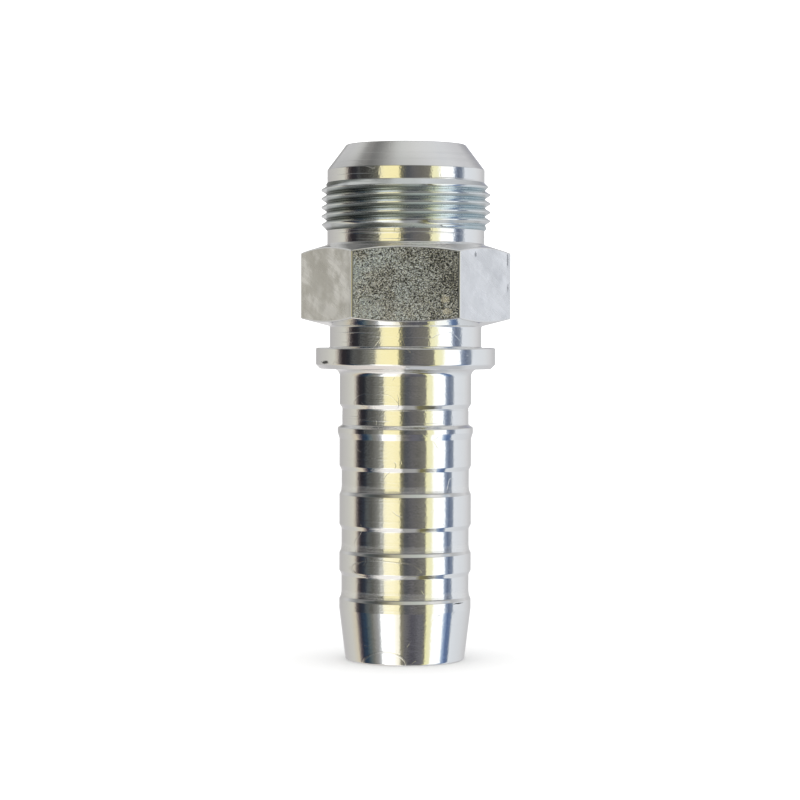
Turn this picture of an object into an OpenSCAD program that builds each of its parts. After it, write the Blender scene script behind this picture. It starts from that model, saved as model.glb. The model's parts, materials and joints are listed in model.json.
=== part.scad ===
// Hose insert with a grooved tail, a collar, a hexagon and a 37-degree flared male end.
// One bar-turned piece of zinc-plated steel. Millimetres, +Z along the axis,
// origin at the centre of the tail's end face.

/* [Bore] */
// Diameter of the straight hole through the whole piece
bore_d = 25.4; // [22:0.1:26.4]
// Chamfer at the tail end of the bore
bore_tail_chamfer = 0.4; // [0.1:0.1:0.7]
// Chamfer at the nose end of the bore
bore_nose_chamfer = 0.4; // [0.1:0.1:0.7]

/* [Hose tail] */
// Diameter of the ridges and of the land next to the taper
ridge_d = 32.2; // [31.6:0.05:34]
// Diameter at the foot of the three lower grooves
groove_d = 31.15; // [29.5:0.05:31.4]
// Length of the straight foot of each lower groove
groove_len = 4.9; // [3:0.1:7]
// Length of the slope between a groove and a ridge
slope_len = 1.05; // [0.4:0.05:2]
// Diameter of the tail's end, at the thin end of the taper
tail_end_d = 29.1; // [28.2:0.05:30]
// Length of the taper that starts the hose
taper_len = 11.8; // [6:0.1:20]
// Length of the straight land above the taper
end_land_len = 3.1; // [1.5:0.1:8]
// Length of the lowest ridge
low_ridge_len = 4.25; // [2:0.05:10]
// Length of the middle ridge
mid_ridge_len = 7.3; // [2:0.05:12]
// Length of the straight part of the top ridge, below its lip
top_ridge_len = 6.6; // [2:0.05:12]
// Diameter of the lip on the top ridge
lip_d = 33.1; // [32.4:0.05:35]
// Length of the lip's straight edge
lip_len = 1.2; // [0.5:0.05:3]
// Length of the slope up to the lip
lip_slope_len = 1.5; // [0.5:0.05:3]
// Length of the step from the lip down into the groove above it
lip_step_len = 0.7; // [0.3:0.05:2]
// Diameter at the foot of the groove above the lip
upper_groove_d = 30.9; // [29.5:0.05:31.6]
// Length of the straight foot of the groove above the lip
upper_groove_len = 4; // [2:0.1:8]
// Diameter of the land under the collar
top_land_d = 32.2; // [31.4:0.05:34]
// Length of the land under the collar, fillet left out
top_land_len = 6.8; // [3:0.1:10]
// Rounding of the ridges' edges and of the grooves' upper corners
ridge_round = 0.3; // [0.1:0.05:0.5]
// Rounding of the grooves' lower corners
groove_foot_round = 2; // [0.3:0.1:2.5]
// Rounding of the tail end's outer edge
tail_end_round = 0.5; // [0.2:0.05:0.7]

/* [Collar and lock groove] */
// Diameter of the collar
collar_d = 43.9; // [40:0.1:50]
// Thickness of the collar
collar_len = 5.2; // [3:0.1:9]
// Rounding of the collar's upper edge
collar_top_round = 0.4; // [0.2:0.1:1.2]
// Chamfer of the collar's lower edge
collar_foot_chamfer = 1.1; // [0.3:0.1:1.5]
// Rounding of both ends of that chamfer
collar_foot_round = 0.5; // [0.1:0.1:0.6]
// Radius of the fillet between the collar and the tail
collar_fillet = 1.7; // [0.5:0.1:3]
// Diameter at the foot of the lock groove between collar and hexagon
lock_groove_d = 37.1; // [34:0.1:38.4]
// Width of the lock groove
lock_groove_len = 5.2; // [3:0.1:9]
// Rounding at the lock groove's foot
lock_groove_round = 0.4; // [0.1:0.1:1]

/* [Hexagon] */
// Distance across the flats, for a 1 3/4 inch wrench
hex_across_flats = 44.45; // [42:0.05:52]
// Length of the hexagon with its chamfers
hex_len = 19.85; // [12:0.1:30]
// Angle of the turned chamfer at the hexagon's tail end
hex_tail_chamfer_angle = 14.5; // [10:0.5:30]
// Angle of the turned chamfer at the hexagon's nose end
hex_nose_chamfer_angle = 17.5; // [10:0.5:30]
// Rounding of the six edges between the flats
hex_edge_round = 0.3; // [0.1:0.05:1]

/* [Flared male end] */
// Diameter of the neck and of the nose on both sides of the thread
neck_d = 38.4; // [37.8:0.1:38.6]
// Length of the neck between hexagon and thread
neck_len = 3.4; // [2:0.1:8]
// Rounding at the foot of the neck
neck_foot_round = 0.4; // [0.1:0.1:1]
// Outside diameter of the thread, 1 5/8 inch
thread_d = 41.275; // [41:0.025:46]
// Threads in one inch
threads_per_inch = 12; // [10:1:16]
// Length of the thread with its chamfers
thread_len = 12; // [8:0.1:20]
// Angle between the axis and the chamfer at the thread's nose end
thread_nose_angle = 30; // [20:1:45]
// Angle between the axis and the chamfer at the thread's neck end
thread_neck_angle = 45; // [30:1:60]
// Turn of the thread about the axis
thread_turn = 107; // [0:1:359]
// Length of the straight nose between thread and seat
nose_len = 2.75; // [1.5:0.05:6]
// Angle between the seat's cone and the axis
seat_angle = 37; // [30:1:45]
// Diameter at the small end of the seat
nose_tip_d = 29.1; // [28:0.05:31]
// Rounding of the seat's small end
nose_tip_round = 0.4; // [0.1:0.1:0.5]

/* [Hidden] */

$fn = 96;
inch = 25.4;
half_turn = 180;

// Steps in each rounded corner of an outline, and the share of a leg that its rounding may take
round_steps = 4;
round_room = 0.45;
// How far a cut runs past the surface that it leaves
cut_past = 1;

// Heights along the axis, from the tail's end face up
land_z = taper_len;
low_groove_z = land_z + end_land_len;
groove_pitch = 2 * slope_len + groove_len;
low_ridge_z = low_groove_z + groove_pitch;
mid_groove_z = low_ridge_z + low_ridge_len;
mid_ridge_z = mid_groove_z + groove_pitch;
high_groove_z = mid_ridge_z + mid_ridge_len;
top_ridge_z = high_groove_z + groove_pitch;
lip_z = top_ridge_z + top_ridge_len + lip_slope_len;
upper_groove_z = lip_z + lip_len;
top_land_z = upper_groove_z + lip_step_len + upper_groove_len + slope_len;
collar_z = top_land_z + top_land_len + collar_fillet;
lock_groove_z = collar_z + collar_len;
hex_z = lock_groove_z + lock_groove_len;
neck_z = hex_z + hex_len;
thread_z = neck_z + neck_len;
nose_z = thread_z + thread_len;
seat_z = nose_z + nose_len;
seat_len = (neck_d - nose_tip_d) / 2 / tan(seat_angle);
total_len = seat_z + seat_len;

// Radius of the hexagon's sharp corners, and of the round blank that its flats are cut on
hex_corner_r = hex_across_flats / 2 / cos(30);
hex_blank_margin = 1;
hex_blank_r = hex_corner_r + hex_blank_margin;

// The unified thread: its flanks' angle, the shares of its sharp height and pitch that its depth and
// crest take, and the diameter and widths that follow
thread_flank_angle = 30;
thread_depth_share = 17 / 24;
thread_crest_share = 1 / 8;
thread_pitch = inch / threads_per_inch;
thread_sharp_h = thread_pitch * cos(thread_flank_angle);
thread_root_d = thread_d - 2 * thread_sharp_h * thread_depth_share;
thread_crest_w = thread_pitch * thread_crest_share;
thread_flank_w = (thread_d - thread_root_d) / 2 * tan(thread_flank_angle);
thread_root_w = thread_pitch - thread_crest_w - 2 * thread_flank_w;

// Sides of one turn of the thread
thread_sides = 72;
// How far inside the neck's and the nose's edge the chamfers of the thread begin
thread_end_sink = 0.1;
// How far the thread's closed ends lie past its length, within the neck and the nose
thread_end_past = 0.3;
thread_start_z = thread_z - thread_pitch - thread_end_past;
thread_steps = ceil(thread_sides * (thread_len + 2 * thread_end_past + thread_pitch) / thread_pitch);
// The plain core that the thread is wound on, and its depth below the roots
thread_core_depth = 1.5;
thread_core_d = thread_root_d - 2 * thread_core_depth;

// Corners of the turned outline, tail end first: radius, height, rounding
outline = [
    [tail_end_d / 2, 0, tail_end_round],
    [ridge_d / 2, land_z, ridge_round],
    each groove(low_groove_z),
    each groove(mid_groove_z),
    each groove(high_groove_z),
    [ridge_d / 2, lip_z - lip_slope_len, ridge_round],
    [lip_d / 2, lip_z, ridge_round],
    [lip_d / 2, upper_groove_z, ridge_round],
    [upper_groove_d / 2, upper_groove_z + lip_step_len, ridge_round],
    [upper_groove_d / 2, top_land_z - slope_len, ridge_round],
    [top_land_d / 2, top_land_z, ridge_round],
    [top_land_d / 2, collar_z, collar_fillet],
    [collar_d / 2 - collar_foot_chamfer, collar_z, collar_foot_round],
    [collar_d / 2, collar_z + collar_foot_chamfer, collar_foot_round],
    [collar_d / 2, lock_groove_z, collar_top_round],
    [lock_groove_d / 2, lock_groove_z, lock_groove_round],
    [lock_groove_d / 2, hex_z, lock_groove_round],
    [hex_blank_r, hex_z + (hex_blank_r - lock_groove_d / 2) * tan(hex_tail_chamfer_angle), 0],
    [hex_blank_r, neck_z - (hex_blank_r - neck_d / 2) * tan(hex_nose_chamfer_angle), 0],
    [neck_d / 2, neck_z, neck_foot_round],
    [neck_d / 2, thread_z, 0],
    [thread_core_d / 2, thread_z, 0],
    [thread_core_d / 2, nose_z, 0],
    [neck_d / 2, nose_z, 0],
    [neck_d / 2, seat_z, ridge_round],
    [nose_tip_d / 2, total_len, nose_tip_round]
];

// One groove of the tail: down its slope, along its foot and up again, from height z
function groove(z) = [
    [ridge_d / 2, z, ridge_round],
    [groove_d / 2, z + slope_len, groove_foot_round],
    [groove_d / 2, z + slope_len + groove_len, ridge_round],
    [ridge_d / 2, z + groove_pitch, ridge_round]
];

function flat(p) = [p[0], p[1]];

function unit(v) = v / norm(v);

// Points of the arc that rounds the corner at, between the legs to before and after.
// Its radius is at[2], or less where a leg is too short for it.
function corner_arc(before, at, after) =
    let (
        leg_in = flat(before) - flat(at),
        leg_out = flat(after) - flat(at),
        half = acos(unit(leg_in) * unit(leg_out)) / 2,
        room = min(norm(leg_in), norm(leg_out)) * round_room,
        reach = min(at[2] / tan(half), room),
        radius = reach * tan(half),
        centre = flat(at) + unit(unit(leg_in) + unit(leg_out)) * radius / sin(half),
        first = flat(at) + unit(leg_in) * reach - centre,
        last = flat(at) + unit(leg_out) * reach - centre,
        sweep = half_turn - 2 * half,
        side = sign(first.x * last.y - first.y * last.x)
    )
    [for (k = [0:round_steps])
        let (turn = side * sweep * k / round_steps)
        centre + [
            first.x * cos(turn) - first.y * sin(turn),
            first.x * sin(turn) + first.y * cos(turn)
        ]];

// The outline closed along the axis, with each corner rounded by its own radius
function rounded_outline(corners) =
    let (
        path = [[0, 0, 0], each corners, [0, total_len, 0]],
        last = len(path) - 1
    )
    [
        [0, 0],
        for (i = [1:last - 1])
            each path[i][2] > 0 ? corner_arc(path[i - 1], path[i], path[i + 1]) : [flat(path[i])],
        [0, total_len]
    ];

// Radius that the chamfers at both ends of the thread leave it at height z
function thread_limit(z) = neck_d / 2 - thread_end_sink
    + min((z - thread_z) * tan(thread_neck_angle), (nose_z - z) * tan(thread_nose_angle));

// Rows of one thread, as height above its start and radius: root, root, crest, crest
thread_rows = [
    [0, thread_root_d / 2],
    [thread_root_w, thread_root_d / 2],
    [thread_root_w + thread_flank_w, thread_d / 2],
    [thread_root_w + thread_flank_w + thread_crest_w, thread_d / 2]
];

// A corner of the thread: step counts the sides from its start up the helix
function thread_corner(step, row) =
    let (
        z = thread_start_z + thread_pitch * step / thread_sides + row[0],
        r = min(row[1], thread_limit(z)),
        angle = thread_turn + 360 * step / thread_sides
    )
    [r * cos(angle), r * sin(angle), z];

// The right-hand thread as one strip, a pitch wide, wound on itself and closed at both ends
module thread() {
    rows = len(thread_rows);
    steps = thread_steps;
    foot_row = [for (step = [0:steps + thread_sides]) thread_corner(step, thread_rows[0])];
    other_rows = [for (step = [0:steps], i = [1:rows - 1]) thread_corner(step, thread_rows[i])];
    foot_count = len(foot_row);
    bottom = foot_count + len(other_rows);
    top = bottom + 1;
    // Number of the corner at a step and row, where the last row is the first of the next turn
    function corner(step, i) =
        i == 0 ? step : i == rows ? step + thread_sides : foot_count + step * (rows - 1) + i - 1;
    strip = [for (step = [0:steps - 1], i = [0:rows - 1])
        each [
            [corner(step, i), corner(step + 1, i + 1), corner(step + 1, i)],
            [corner(step, i), corner(step, i + 1), corner(step + 1, i + 1)]
        ]];
    foot_loop = [
        for (step = [0:thread_sides]) corner(step, 0),
        for (i = [rows - 1:-1:1]) corner(0, i)
    ];
    head_loop = [
        for (i = [0:rows - 1]) corner(steps, i),
        for (step = [steps:-1:steps - thread_sides + 1]) corner(step, rows)
    ];
    polyhedron(
        points = concat(foot_row, other_rows, [
            [0, 0, thread_corner(0, thread_rows[0]).z],
            [0, 0, thread_corner(steps, thread_rows[0]).z + thread_pitch]
        ]),
        faces = concat(
            strip,
            [for (i = [0:len(foot_loop) - 1])
                [bottom, foot_loop[i], foot_loop[(i + 1) % len(foot_loop)]]],
            [for (i = [0:len(head_loop) - 1])
                [top, head_loop[i], head_loop[(i + 1) % len(head_loop)]]]
        )
    );
}

// Everything but the thread as it comes off the lathe
module turned_body() {
    rotate_extrude() polygon(rounded_outline(outline));
}

// What is cut off the round blank to leave the hexagon, with a flat to the front and rounded edges
module flats_cut() {
    corners = [for (i = [0:7]) [hex_corner_r * cos(60 * i), hex_corner_r * sin(60 * i), hex_edge_round]];
    translate([0, 0, hex_z - cut_past]) linear_extrude(hex_len + 2 * cut_past) difference() {
        circle(r = hex_blank_r + cut_past);
        polygon([for (i = [1:6]) each corner_arc(corners[i - 1], corners[i], corners[i + 1])]);
    }
}

// Straight bore with a small chamfer at each end
module bore() {
    bore_r = bore_d / 2;
    rotate_extrude() polygon([
        [0, -cut_past],
        [bore_r + bore_tail_chamfer + cut_past, -cut_past],
        [bore_r, bore_tail_chamfer],
        [bore_r, total_len - bore_nose_chamfer],
        [bore_r + bore_nose_chamfer + cut_past, total_len + cut_past],
        [0, total_len + cut_past]
    ]);
}

module hose_insert() {
    color("silver") difference() {
        union() {
            difference() {
                turned_body();
                flats_cut();
            }
            thread();
        }
        bore();
    }
}

hose_insert();
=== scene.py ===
import json
import math

import bmesh
import bpy
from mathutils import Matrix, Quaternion, Vector


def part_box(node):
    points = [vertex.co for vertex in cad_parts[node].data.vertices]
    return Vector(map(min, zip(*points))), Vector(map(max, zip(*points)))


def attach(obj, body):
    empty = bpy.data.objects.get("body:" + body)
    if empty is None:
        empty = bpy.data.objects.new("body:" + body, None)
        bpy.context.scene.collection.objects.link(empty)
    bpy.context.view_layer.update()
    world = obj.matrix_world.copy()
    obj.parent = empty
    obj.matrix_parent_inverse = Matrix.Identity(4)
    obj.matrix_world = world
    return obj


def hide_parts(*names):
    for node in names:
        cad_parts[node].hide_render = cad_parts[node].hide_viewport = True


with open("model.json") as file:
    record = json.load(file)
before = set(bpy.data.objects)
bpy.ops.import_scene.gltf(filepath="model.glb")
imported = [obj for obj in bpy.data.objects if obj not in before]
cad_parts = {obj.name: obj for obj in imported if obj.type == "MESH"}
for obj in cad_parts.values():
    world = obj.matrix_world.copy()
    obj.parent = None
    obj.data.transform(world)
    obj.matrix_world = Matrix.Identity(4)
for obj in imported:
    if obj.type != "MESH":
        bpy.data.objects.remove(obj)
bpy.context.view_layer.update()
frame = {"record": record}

# Camera
# A long lens on a level tripod a little above half the piece's height, as in the photo.
# It looks square at one flat of the hexagon.
CAMERA_LENS = 109.8
CAMERA_SENSOR = 36.0
CAMERA_NEAR = 0.01
CAMERA_PLACE = Vector((0.0, -0.5966, 0.0788))
CAMERA_AIM = Vector((-0.00132, 0.0, 0.0634))
CAMERA_ROLL = math.radians(0.15)

camera = bpy.data.objects.new("camera", bpy.data.cameras.new("camera"))
camera.data.lens = CAMERA_LENS
camera.data.sensor_width = CAMERA_SENSOR
camera.data.clip_start = CAMERA_NEAR
camera.location = CAMERA_PLACE
camera.rotation_mode = "QUATERNION"
look = (CAMERA_AIM - CAMERA_PLACE).to_track_quat("-Z", "Y")
camera.rotation_quaternion = look @ Quaternion((0, 0, 1), CAMERA_ROLL)
bpy.context.scene.collection.objects.link(camera)
bpy.context.scene.camera = camera
bpy.context.scene.view_settings.view_transform = "Standard"

# Studio light
# A white tent with dark flags and warm lamps round it. The turned metal mirrors it as upright stripes,
# so each card is given by the direction that it stands in, seen from the piece: 0 is the camera's side
# and 90 is to the camera's right. Some cards look different from below eye level.
EYE_LEVEL_CARDS = [
    (-180, (0.75, 0.74, 0.73)),
    (-158, (0.48, 0.47, 0.47)),
    (-122, (0.59, 0.58, 0.55)),
    (-103, (0.68, 0.67, 0.60)),
    (-97.5, (0.54, 0.49, 0.43)),
    (-94, (0.215, 0.19, 0.175)),
    (-91, (0.095, 0.08, 0.078)),
    (-87, (0.030, 0.025, 0.028)),
    (-77, (0.026, 0.027, 0.032)),
    (-71, (0.075, 0.076, 0.075)),
    (-60, (0.09, 0.088, 0.082)),
    (-51, (0.185, 0.185, 0.165)),
    (-39, (0.30, 0.29, 0.22)),
    (-37.5, (0.94, 0.87, 0.56)),
    (-31, (1.06, 0.97, 0.55)),
    (-10.2, (1.08, 0.97, 0.53)),
    (-8, (0.28, 0.26, 0.15)),
    (-1, (0.09, 0.094, 0.10)),
    (4, (0.085, 0.09, 0.10)),
    (12, (0.145, 0.14, 0.14)),
    (35.8, (0.22, 0.21, 0.17)),
    (37.7, (0.97, 0.93, 0.58)),
    (47.5, (1.0, 0.98, 0.66)),
    (52, (1.24, 1.24, 1.19)),
    (73.2, (1.21, 1.25, 1.29)),
    (75.4, (0.36, 0.42, 0.54)),
    (82, (0.14, 0.17, 0.24)),
    (91.7, (0.28, 0.32, 0.39)),
    (95, (0.80, 0.84, 0.90)),
    (123, (0.77, 0.79, 0.82)),
    (137, (0.70, 0.70, 0.72)),
    (152, (0.58, 0.58, 0.59)),
]
LOW_CARDS = [
    (-180, (0.85, 0.83, 0.84)),
    (-150, (0.56, 0.55, 0.56)),
    (-115, (0.64, 0.63, 0.59)),
    (-99, (0.68, 0.60, 0.46)),
    (-94.5, (0.33, 0.285, 0.255)),
    (-90, (0.11, 0.09, 0.10)),
    (-85, (0.025, 0.035, 0.06)),
    (-75, (0.03, 0.055, 0.09)),
    (-68, (0.11, 0.14, 0.15)),
    (-60, (0.20, 0.20, 0.18)),
    (-50, (0.38, 0.38, 0.38)),
    (-46, (0.60, 0.62, 0.64)),
    (-44, (1.40, 1.42, 1.42)),
    (-21, (1.38, 1.36, 1.30)),
    (-16, (1.16, 1.12, 0.98)),
    (-10, (1.08, 1.03, 0.84)),
    (-7.8, (0.26, 0.24, 0.17)),
    (0, (0.16, 0.155, 0.155)),
    (12, (0.115, 0.112, 0.135)),
    (32, (0.15, 0.15, 0.16)),
    (37.3, (0.22, 0.21, 0.17)),
    (39.3, (0.92, 0.89, 0.50)),
    (48.5, (0.96, 0.94, 0.64)),
    (50.5, (1.24, 1.24, 1.19)),
    (71.4, (1.21, 1.25, 1.26)),
    (75, (0.42, 0.54, 0.74)),
    (82, (0.13, 0.20, 0.38)),
    (90.5, (0.14, 0.20, 0.33)),
    (94, (0.78, 0.82, 0.87)),
    (160, (0.62, 0.62, 0.64)),
]
ROOF_RIM = [
    (-180, (0.30, 0.30, 0.31)),
    (-177.2, (0.28, 0.28, 0.28)),
    (-176.2, (0.06, 0.06, 0.06)),
    (-171, (0.07, 0.07, 0.07)),
    (-158, (0.60, 0.60, 0.60)),
    (-128, (0.60, 0.60, 0.60)),
    (-112, (0.38, 0.38, 0.38)),
    (-100, (0.22, 0.22, 0.22)),
    (-30, (0.20, 0.20, 0.20)),
    (60, (0.26, 0.26, 0.26)),
    (118, (0.61, 0.62, 0.64)),
    (136, (0.70, 0.70, 0.71)),
    (148, (0.50, 0.50, 0.52)),
    (158, (0.41, 0.41, 0.43)),
    (175, (0.30, 0.31, 0.42)),
    (180, (0.30, 0.30, 0.31)),
]
ROOF = [
    (-180, (0.30, 0.30, 0.31)),
    (-158, (0.27, 0.27, 0.27)),
    (-147, (0.40, 0.40, 0.40)),
    (-138, (0.66, 0.66, 0.65)),
    (-122, (0.61, 0.61, 0.59)),
    (-112, (0.28, 0.28, 0.27)),
    (-104, (0.19, 0.19, 0.185)),
    (-95, (0.19, 0.19, 0.185)),
    (-83, (0.28, 0.28, 0.27)),
    (-67, (0.44, 0.44, 0.42)),
    (-45, (0.60, 0.60, 0.58)),
    (-15, (0.68, 0.69, 0.67)),
    (20, (0.73, 0.73, 0.71)),
    (105, (0.76, 0.77, 0.78)),
    (128, (0.68, 0.68, 0.70)),
    (150, (0.50, 0.50, 0.52)),
    (180, (0.30, 0.30, 0.31)),
]
GROUND = [
    (-180, (0.36, 0.37, 0.37)),
    (-115, (0.80, 0.74, 0.70)),
    (-60, (1.05, 1.02, 0.98)),
    (-12, (1.05, 1.02, 0.98)),
    (-5, (0.36, 0.36, 0.36)),
    (25, (0.40, 0.40, 0.40)),
    (38, (0.20, 0.18, 0.09)),
    (75, (0.14, 0.14, 0.12)),
    (88, (0.60, 0.62, 0.66)),
    (140, (0.50, 0.51, 0.53)),
    (152, (1.10, 1.12, 1.15)),
    (164, (1.30, 1.32, 1.35)),
    (168, (0.65, 0.66, 0.67)),
    (174, (0.46, 0.47, 0.47)),
    (180, (0.42, 0.43, 0.43)),
]
SLOPE_CARDS = [
    (-110, (0.45, 0.44, 0.39)),
    (-101, (0.33, 0.31, 0.30)),
    (-88, (0.15, 0.16, 0.16)),
    (-75, (0.08, 0.09, 0.09)),
    (-60, (0.09, 0.09, 0.085)),
    (-50, (0.15, 0.15, 0.13)),
    (-38, (0.30, 0.28, 0.20)),
    (-25, (0.47, 0.44, 0.34)),
    (-13, (0.51, 0.49, 0.35)),
    (0, (0.49, 0.49, 0.46)),
    (26, (0.53, 0.56, 0.52)),
    (45, (0.66, 0.66, 0.60)),
    (58, (0.84, 0.84, 0.83)),
    (76, (0.80, 0.79, 0.79)),
    (88, (0.52, 0.58, 0.66)),
    (104, (0.72, 0.73, 0.76)),
]
# Where one set of cards gives way to the next, in degrees above or below eye level, and where the dark
# flag and the cards that the ridges' slopes mirror stand, in degrees round the piece and above eye level.
LOW_FROM = (0, 20)
FLAG_SIDE = (-72, -69, -41, -39)
FLAG_UP = (0, 4)
FLAG_TOP = (4.5, 7)
FLAG_DEPTH = 0.62
PATCH_TURN = 0.035
PATCH_RISE = 0.55
PATCH_SHARE = 1.1
PATCHED_BELOW = (0.14, 0.35)
RIM_FROM = (4, 20)
ROOF_FROM = (33, 44)
GROUND_FROM = (44, 54)
SLOPE_SIDE = (-110, -98, 92, 104)
SLOPE_UP = (27, 33, 55, 61)
ZENITH_FROM = (76, 83)
ZENITH = (0.64, 0.65, 0.64)
TENT_WHITE = (1.0, 1.0, 1.0)
FLOOR_LIGHT = 1.5


def new_node(tree, kind, **settings):
    """A node of a shader or geometry tree, with its own properties set."""
    made = tree.nodes.new(kind)
    for name, value in settings.items():
        setattr(made, name, value)
    return made


def feed(tree, node, **values):
    """Sets a node's inputs by name or by in0, in1 and so on, from a plain value or another node's socket."""
    for name, value in values.items():
        key = int(name[2:]) if name.startswith("in") and name[2:].isdigit() else name.replace("_", " ")
        socket = node.inputs[key]
        if isinstance(value, bpy.types.NodeSocket):
            tree.links.new(value, socket)
        elif socket.type == "RGBA":
            socket.default_value = (*value, 1.0)
        else:
            socket.default_value = value
    return node


def calc(tree, operation, *values):
    """A Math node's result."""
    node = new_node(tree, "ShaderNodeMath", operation=operation)
    return feed(tree, node, **{f"in{i}": v for i, v in enumerate(values)}).outputs[0]


def product(tree, first, *others):
    """All the values multiplied, from the first to the last."""
    for other in others:
        first = calc(tree, "MULTIPLY", first, other)
    return first


def inverse(tree, value):
    """1 where a value is 0, and 0 where it is 1."""
    return calc(tree, "SUBTRACT", 1.0, value)


def centred(tree, value):
    """A value from 0 to 1 as one from -0.5 to 0.5."""
    return calc(tree, "SUBTRACT", value, 0.5)


def cards_ramp(tree, azimuth, cards):
    """Colour of the cards that stand in a direction, by its azimuth in degrees."""
    ramp = new_node(tree, "ShaderNodeValToRGB")
    stops = ramp.color_ramp.elements
    while len(stops) < len(cards):
        stops.new(1.0)
    for stop, (angle, colour) in zip(stops, cards):
        stop.position = angle / 360 + 0.5
        stop.color = (*colour, 1.0)
    position = calc(tree, "MULTIPLY_ADD", azimuth, 1 / 360, 0.5)
    return feed(tree, ramp, Fac=position).outputs["Color"]


def rise(tree, value, start, end, kind="SMOOTHSTEP"):
    """0 below start and 1 above end, with a soft or straight step between."""
    step = new_node(tree, "ShaderNodeMapRange", interpolation_type=kind)
    return feed(tree, step, Value=value, From_Min=start, From_Max=end).outputs["Result"]


def window(tree, value, start, full, fading, end):
    """1 from full to fading and 0 outside start and end, with soft steps between."""
    return calc(tree, "SUBTRACT", rise(tree, value, start, full), rise(tree, value, fading, end))


def scaled(tree, colour, share):
    """A colour made lighter or darker."""
    node = new_node(tree, "ShaderNodeVectorMath", operation="SCALE")
    return feed(tree, node, in0=colour, Scale=share).outputs[0]


def blend_colours(tree, share, first, second):
    """Mixes two colours."""
    mix = new_node(tree, "ShaderNodeMix", data_type="RGBA")
    return feed(tree, mix, in0=share, in6=first, in7=second).outputs[2]


world = bpy.data.worlds.new("studio")
bpy.context.scene.world = world
world.use_nodes = True
sky = world.node_tree
sky.nodes.clear()
direction = new_node(sky, "ShaderNodeTexCoord").outputs["Generated"]
along = feed(sky, new_node(sky, "ShaderNodeSeparateXYZ"), in0=direction).outputs
towards_camera = calc(sky, "MULTIPLY", along["Y"], -1.0)
azimuth = calc(sky, "DEGREES", calc(sky, "ARCTAN2", along["X"], towards_camera))
elevation = calc(sky, "DEGREES", calc(sky, "ARCSINE", along["Z"]))
drop = calc(sky, "MULTIPLY", elevation, -1.0)
tent = cards_ramp(sky, azimuth, EYE_LEVEL_CARDS)
tent = blend_colours(sky, rise(sky, drop, *LOW_FROM, "LINEAR"), tent, cards_ramp(sky, azimuth, LOW_CARDS))
upright = calc(sky, "SUBTRACT", rise(sky, elevation, *FLAG_UP, "LINEAR"), rise(sky, elevation, *FLAG_TOP))
flag = calc(sky, "MULTIPLY", window(sky, azimuth, *FLAG_SIDE), upright)
where = feed(sky, new_node(sky, "ShaderNodeCombineXYZ"), X=calc(sky, "MULTIPLY", azimuth, PATCH_TURN),
             Y=calc(sky, "MULTIPLY", elevation, PATCH_RISE)).outputs[0]
patches = feed(sky, new_node(sky, "ShaderNodeTexNoise"), Vector=where, Scale=1.0, Detail=2.0).outputs[0]
brightness = feed(sky, new_node(sky, "ShaderNodeRGBToBW"), in0=tent).outputs[0]
shady = inverse(sky, rise(sky, brightness, *PATCHED_BELOW))
patchy = product(sky, centred(sky, patches), 2 * PATCH_SHARE, shady)
dimmed = calc(sky, "MULTIPLY", calc(sky, "MULTIPLY_ADD", flag, -FLAG_DEPTH, 1.0), calc(sky, "ADD", patchy, 1.0))
tent = scaled(sky, tent, dimmed)
for angle, limits, cards in (
    (drop, GROUND_FROM, GROUND),
    (elevation, RIM_FROM, ROOF_RIM),
    (elevation, ROOF_FROM, ROOF),
):
    tent = blend_colours(sky, rise(sky, angle, *limits), tent, cards_ramp(sky, azimuth, cards))
in_slopes = calc(sky, "MULTIPLY", window(sky, azimuth, *SLOPE_SIDE), window(sky, elevation, *SLOPE_UP))
tent = blend_colours(sky, in_slopes, tent, cards_ramp(sky, azimuth, SLOPE_CARDS))
tent = blend_colours(sky, rise(sky, elevation, *ZENITH_FROM), tent, ZENITH)
mirrored = feed(sky, new_node(sky, "ShaderNodeBackground"), Color=tent, Strength=1.0)
plain = feed(sky, new_node(sky, "ShaderNodeBackground"), Color=TENT_WHITE, Strength=FLOOR_LIGHT)
rays = new_node(sky, "ShaderNodeLightPath").outputs
matt = calc(sky, "MAXIMUM", rays["Is Camera Ray"], rays["Is Diffuse Ray"])
chosen = new_node(sky, "ShaderNodeMixShader")
feed(sky, chosen, in0=matt, in1=mirrored.outputs[0], in2=plain.outputs[0])
feed(sky, new_node(sky, "ShaderNodeOutputWorld"), Surface=chosen.outputs[0])

# Floor
# A pale seamless sweep that the piece stands on. The bright metal doesn't mirror it, because the photo's
# piece was lit free of any table.
FLOOR_HALF = 2.0
FLOOR_COLOUR = (0.88, 0.88, 0.88)

floor_mesh = bpy.data.meshes.new("floor")
floor_mesh.from_pydata(
    [(x * FLOOR_HALF, y * FLOOR_HALF, 0.0) for x, y in ((-1, -1), (1, -1), (1, 1), (-1, 1))],
    [],
    [(0, 1, 2, 3)],
)
floor = bpy.data.objects.new("floor", floor_mesh)
bpy.context.scene.collection.objects.link(floor)
floor.visible_glossy = False

paper = bpy.data.materials.new("white paper sweep")
paper.use_nodes = True
tree = paper.node_tree
tree.nodes.clear()
sheet = feed(tree, new_node(tree, "ShaderNodeBsdfDiffuse"), Color=FLOOR_COLOUR)
seen_through = new_node(tree, "ShaderNodeBsdfTransparent")
back = new_node(tree, "ShaderNodeNewGeometry").outputs["Backfacing"]
sides = new_node(tree, "ShaderNodeMixShader")
feed(tree, sides, in0=back, in1=sheet.outputs[0], in2=seen_through.outputs[0])
feed(tree, new_node(tree, "ShaderNodeOutputMaterial"), Surface=sides.outputs[0])
floor_mesh.materials.append(paper)

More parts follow.
